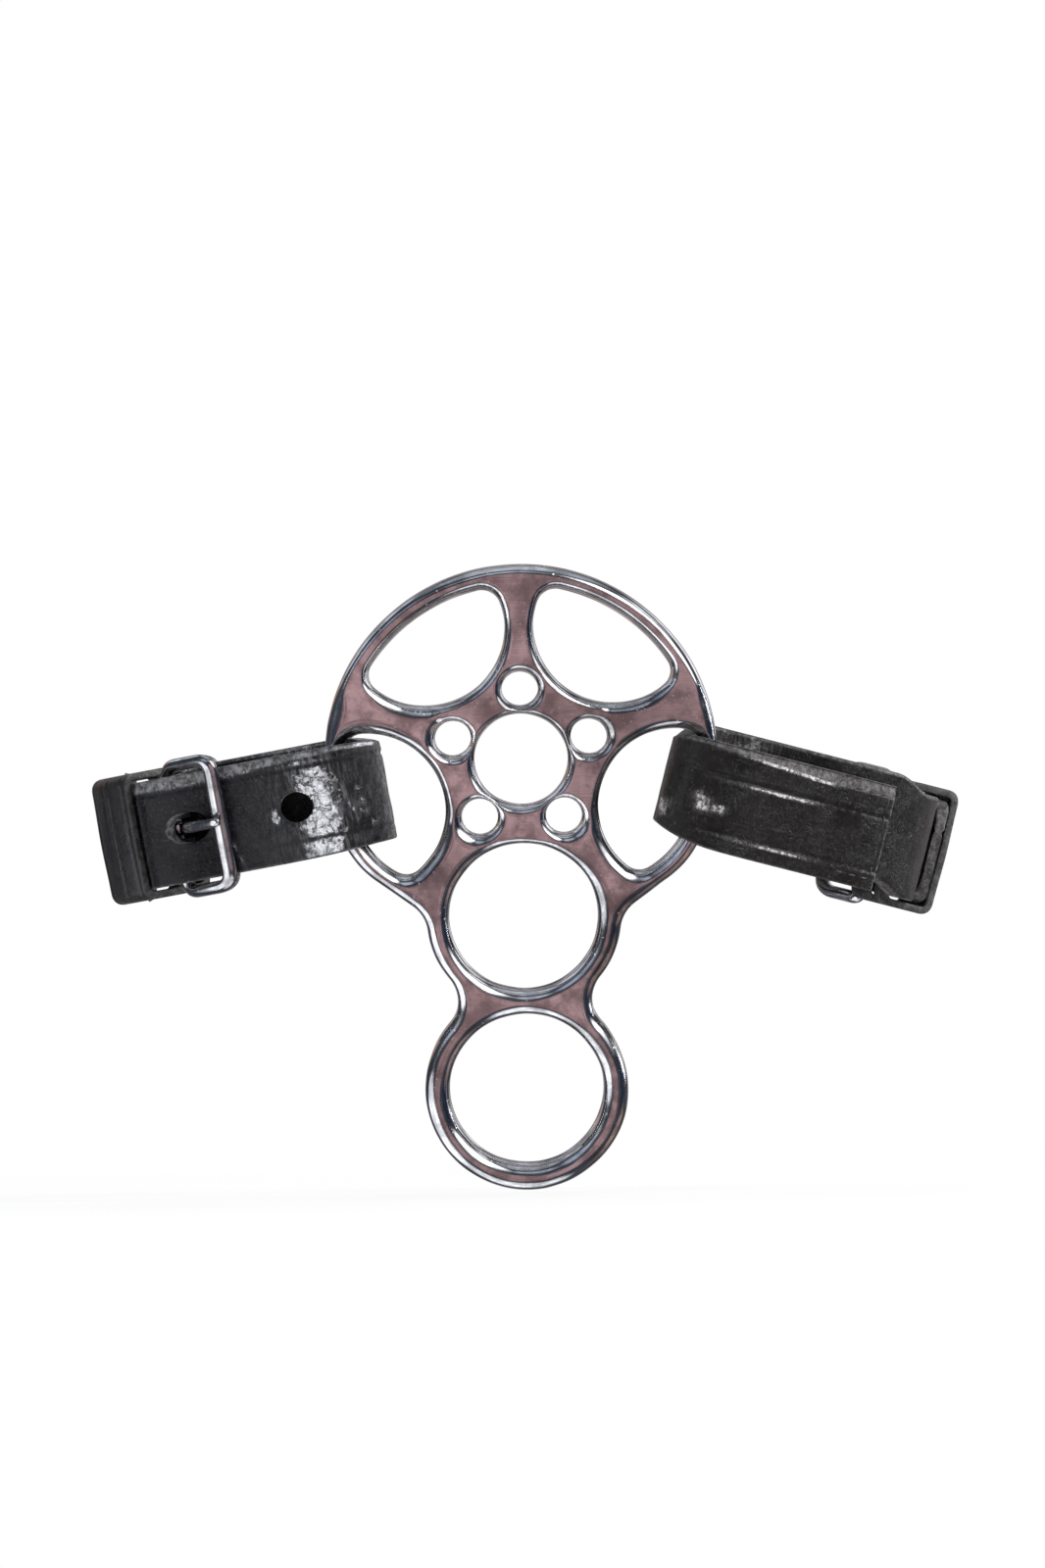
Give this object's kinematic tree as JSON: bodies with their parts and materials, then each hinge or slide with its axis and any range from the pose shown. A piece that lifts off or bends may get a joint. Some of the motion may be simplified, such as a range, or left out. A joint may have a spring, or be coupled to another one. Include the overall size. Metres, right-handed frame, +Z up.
{
  "type": "mechanical hackamore",
  "caption": "Bitless bridle noseband: pierced steel wheel cheeks with rein rings, a lined leather noseband in front and a buckled leather curb strap behind.",
  "frame": {"origin": "midway between the centres of the two wheels", "axes": "+X from the noseband to the curb strap, +Y from the near cheek to the far one, +Z up, towards the headstall"},
  "size_m": [0.1893, 0.1262, 0.1357],
  "materials": {
    "near_cheek_steel": "polished stainless steel with fine scratches",
    "far_cheek_steel": "polished stainless steel with fine scratches",
    "noseband_strap_leather": "glossy black strap leather",
    "curb_strap_leather": "glossy black strap leather with creased edges",
    "nose_pad_leather": "soft black lining leather",
    "near_nose_chape_leather": "thin black leather",
    "near_nose_buckle_frame_steel": "polished stainless steel rod",
    "near_nose_buckle_tongue_steel": "polished stainless steel rod",
    "near_nose_fixed_keeper_leather": "glossy black leather loop",
    "near_nose_sliding_keeper_leather": "glossy black leather loop",
    "far_nose_chape_leather": "thin black leather",
    "far_nose_buckle_frame_steel": "polished stainless steel rod",
    "far_nose_buckle_tongue_steel": "polished stainless steel rod",
    "far_nose_fixed_keeper_leather": "glossy black leather loop",
    "far_nose_sliding_keeper_leather": "glossy black leather loop",
    "far_curb_chape_leather": "thin black leather",
    "far_curb_buckle_frame_steel": "polished stainless steel rod",
    "far_curb_buckle_tongue_steel": "polished stainless steel rod",
    "far_curb_fixed_keeper_leather": "glossy black leather loop",
    "far_curb_sliding_keeper_leather": "glossy black leather loop"
  },
  "bodies": {
    "noseband": {"noseband_strap": "noseband_strap_leather", "nose_pad": "nose_pad_leather", "near_nose_chape": "near_nose_chape_leather", "near_nose_buckle_frame": "near_nose_buckle_frame_steel", "near_nose_fixed_keeper": "near_nose_fixed_keeper_leather", "far_nose_chape": "far_nose_chape_leather", "far_nose_buckle_frame": "far_nose_buckle_frame_steel", "far_nose_fixed_keeper": "far_nose_fixed_keeper_leather"},
    "near_lever": {"near_cheek": "near_cheek_steel"},
    "far_lever": {"far_cheek": "far_cheek_steel"},
    "curb": {"curb_strap": "curb_strap_leather", "far_curb_chape": "far_curb_chape_leather", "far_curb_buckle_frame": "far_curb_buckle_frame_steel", "far_curb_fixed_keeper": "far_curb_fixed_keeper_leather"},
    "near_nose_tongue": {"near_nose_buckle_tongue": "near_nose_buckle_tongue_steel"},
    "near_nose_slider": {"near_nose_sliding_keeper": "near_nose_sliding_keeper_leather"},
    "far_nose_tongue": {"far_nose_buckle_tongue": "far_nose_buckle_tongue_steel"},
    "far_nose_slider": {"far_nose_sliding_keeper": "far_nose_sliding_keeper_leather"},
    "far_curb_tongue": {"far_curb_buckle_tongue": "far_curb_buckle_tongue_steel"},
    "far_curb_slider": {"far_curb_sliding_keeper": "far_curb_sliding_keeper_leather"}
  },
  "joints": [
    {"name": "near_cheek_turn", "type": "hinge", "parent": "noseband", "child": "near_lever", "pos_m": [0, -0.053, 0], "axis": [0, 0.9848, 0.1736], "range_deg": [-1.2, 7]},
    {"name": "far_cheek_turn", "type": "hinge", "parent": "noseband", "child": "far_lever", "pos_m": [0, 0.053, 0], "axis": [0, 0.9848, -0.1736], "range_deg": [-1.2, 7]},
    {"name": "curb_turn", "type": "hinge", "parent": "noseband", "child": "curb", "pos_m": [0, 0, 0], "axis": [0, 1, 0], "range_deg": [-1.2, 7]},
    {"name": "near_nose_tongue_turn", "type": "hinge", "parent": "noseband", "child": "near_nose_tongue", "pos_m": [-0.07474, -0.03485, -0.01419], "axis": [0.1617, 0.2817, -0.9458], "range_deg": [0, 12]},
    {"name": "near_nose_keeper_slide", "type": "hinge", "parent": "noseband", "child": "near_nose_slider", "pos_m": [-0.03988, 0, -0.00824], "axis": [0.1685, 0, -0.9857], "range_deg": [0, 3]},
    {"name": "far_nose_tongue_turn", "type": "hinge", "parent": "noseband", "child": "far_nose_tongue", "pos_m": [-0.07474, 0.03485, -0.01419], "axis": [-0.1617, 0.2817, 0.9458], "range_deg": [0, 12]},
    {"name": "far_nose_keeper_slide", "type": "hinge", "parent": "noseband", "child": "far_nose_slider", "pos_m": [-0.03988, 0, -0.00824], "axis": [-0.1685, 0, 0.9857], "range_deg": [0, 3]},
    {"name": "far_curb_tongue_turn", "type": "hinge", "parent": "curb", "child": "far_curb_tongue", "pos_m": [0.07725, 0.03037, -0.01854], "axis": [-0.2554, -0.2517, -0.9335], "range_deg": [0, 12]},
    {"name": "far_curb_keeper_slide", "type": "hinge", "parent": "curb", "child": "far_curb_slider", "pos_m": [0.04262, 0, -0.00907], "axis": [-0.2639, 0, -0.9646], "range_deg": [0, 3]}
  ],
  "couplings": [
    {"joint": "far_cheek_turn", "follows": "near_cheek_turn", "ratio": 1},
    {"joint": "curb_turn", "follows": "near_cheek_turn", "ratio": 1}
  ]
}
